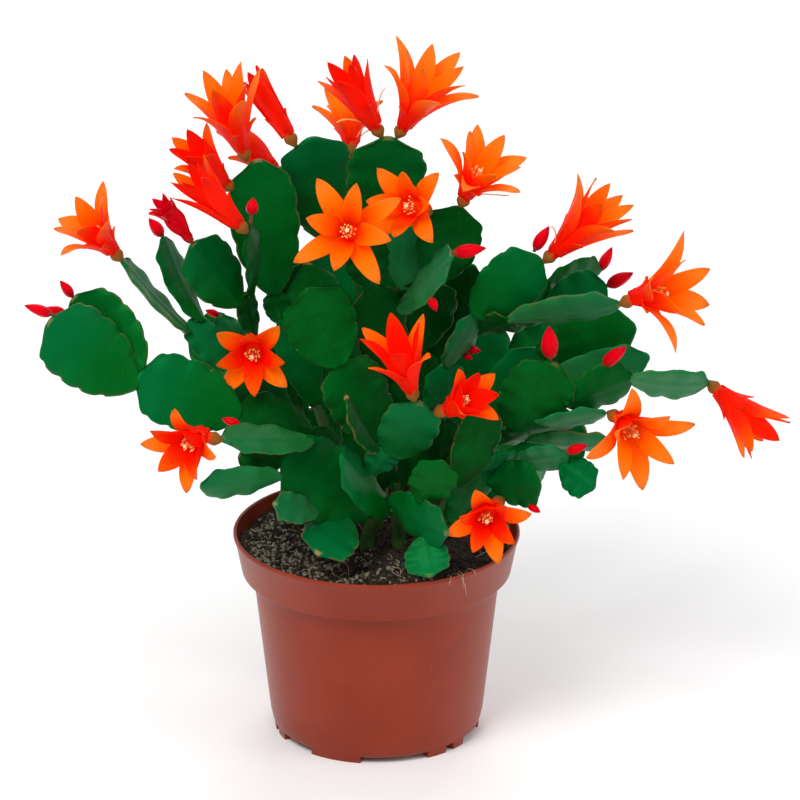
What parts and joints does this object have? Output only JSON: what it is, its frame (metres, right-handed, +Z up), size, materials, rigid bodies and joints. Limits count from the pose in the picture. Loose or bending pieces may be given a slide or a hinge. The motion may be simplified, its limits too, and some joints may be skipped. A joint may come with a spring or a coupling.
{
  "type": "potted easter cactus",
  "caption": "Easter cactus with flat scalloped pads, star-shaped blooms and buds at their tips, rooted in soil in a round tapered nursery pot with a deep rim.",
  "frame": {"origin": "on the pot's axis, in the plane that its feet stand on", "axes": "+Z up along the pot's axis; -Y towards the side that the picture shows; +X to the right as the picture shows it"},
  "size_m": [0.3132, 0.2032, 0.2954],
  "materials": {
    "pot": "terracotta-coloured moulded plastic with a soft sheen",
    "soil": "dark damp peat",
    "pads": "green waxy skin",
    "petals": "orange satin petals",
    "buds": "crimson waxy petals"
  },
  "bodies": {
    "root": {"pot": "pot", "soil": "soil", "stem_left_arm": "pads", "stem_front_left": "pads", "stem_centre": "pads", "stem_middle": "pads", "stem_tall_left": "pads", "stem_upper_left": "pads", "stem_far_left": "pads", "stem_top": "pads", "stem_upper_right": "pads", "stem_right": "pads", "stem_far_right": "pads", "stem_low_right": "pads", "stem_back_left": "pads", "stem_back": "pads", "stem_back_right": "pads", "stem_side_right": "pads", "bloom_01": "petals", "bloom_02": "petals", "bloom_03": "petals", "bloom_04": "petals", "bloom_05": "petals", "bloom_06": "petals", "bloom_07": "petals", "bloom_08": "petals", "bloom_09": "petals", "bloom_10": "petals", "bloom_11": "petals", "bloom_12": "petals", "bloom_13": "petals", "bloom_14": "petals", "bloom_15": "petals", "bloom_16": "petals", "bloom_17": "petals", "bloom_18": "petals", "bloom_19": "petals", "bloom_20": "petals", "bloom_21": "petals", "bud_01": "buds", "bud_02": "buds", "bud_03": "buds", "bud_04": "buds", "bud_05": "buds", "bud_06": "buds", "bud_07": "buds", "bud_08": "buds", "bud_09": "buds", "bud_10": "buds", "bud_11": "buds", "bud_12": "buds", "bud_13": "buds", "bud_14": "buds", "bud_15": "buds", "bud_16": "buds", "bud_17": "buds", "bud_18": "buds", "bud_19": "buds", "bud_20": "buds"}
  },
  "joints": []
}
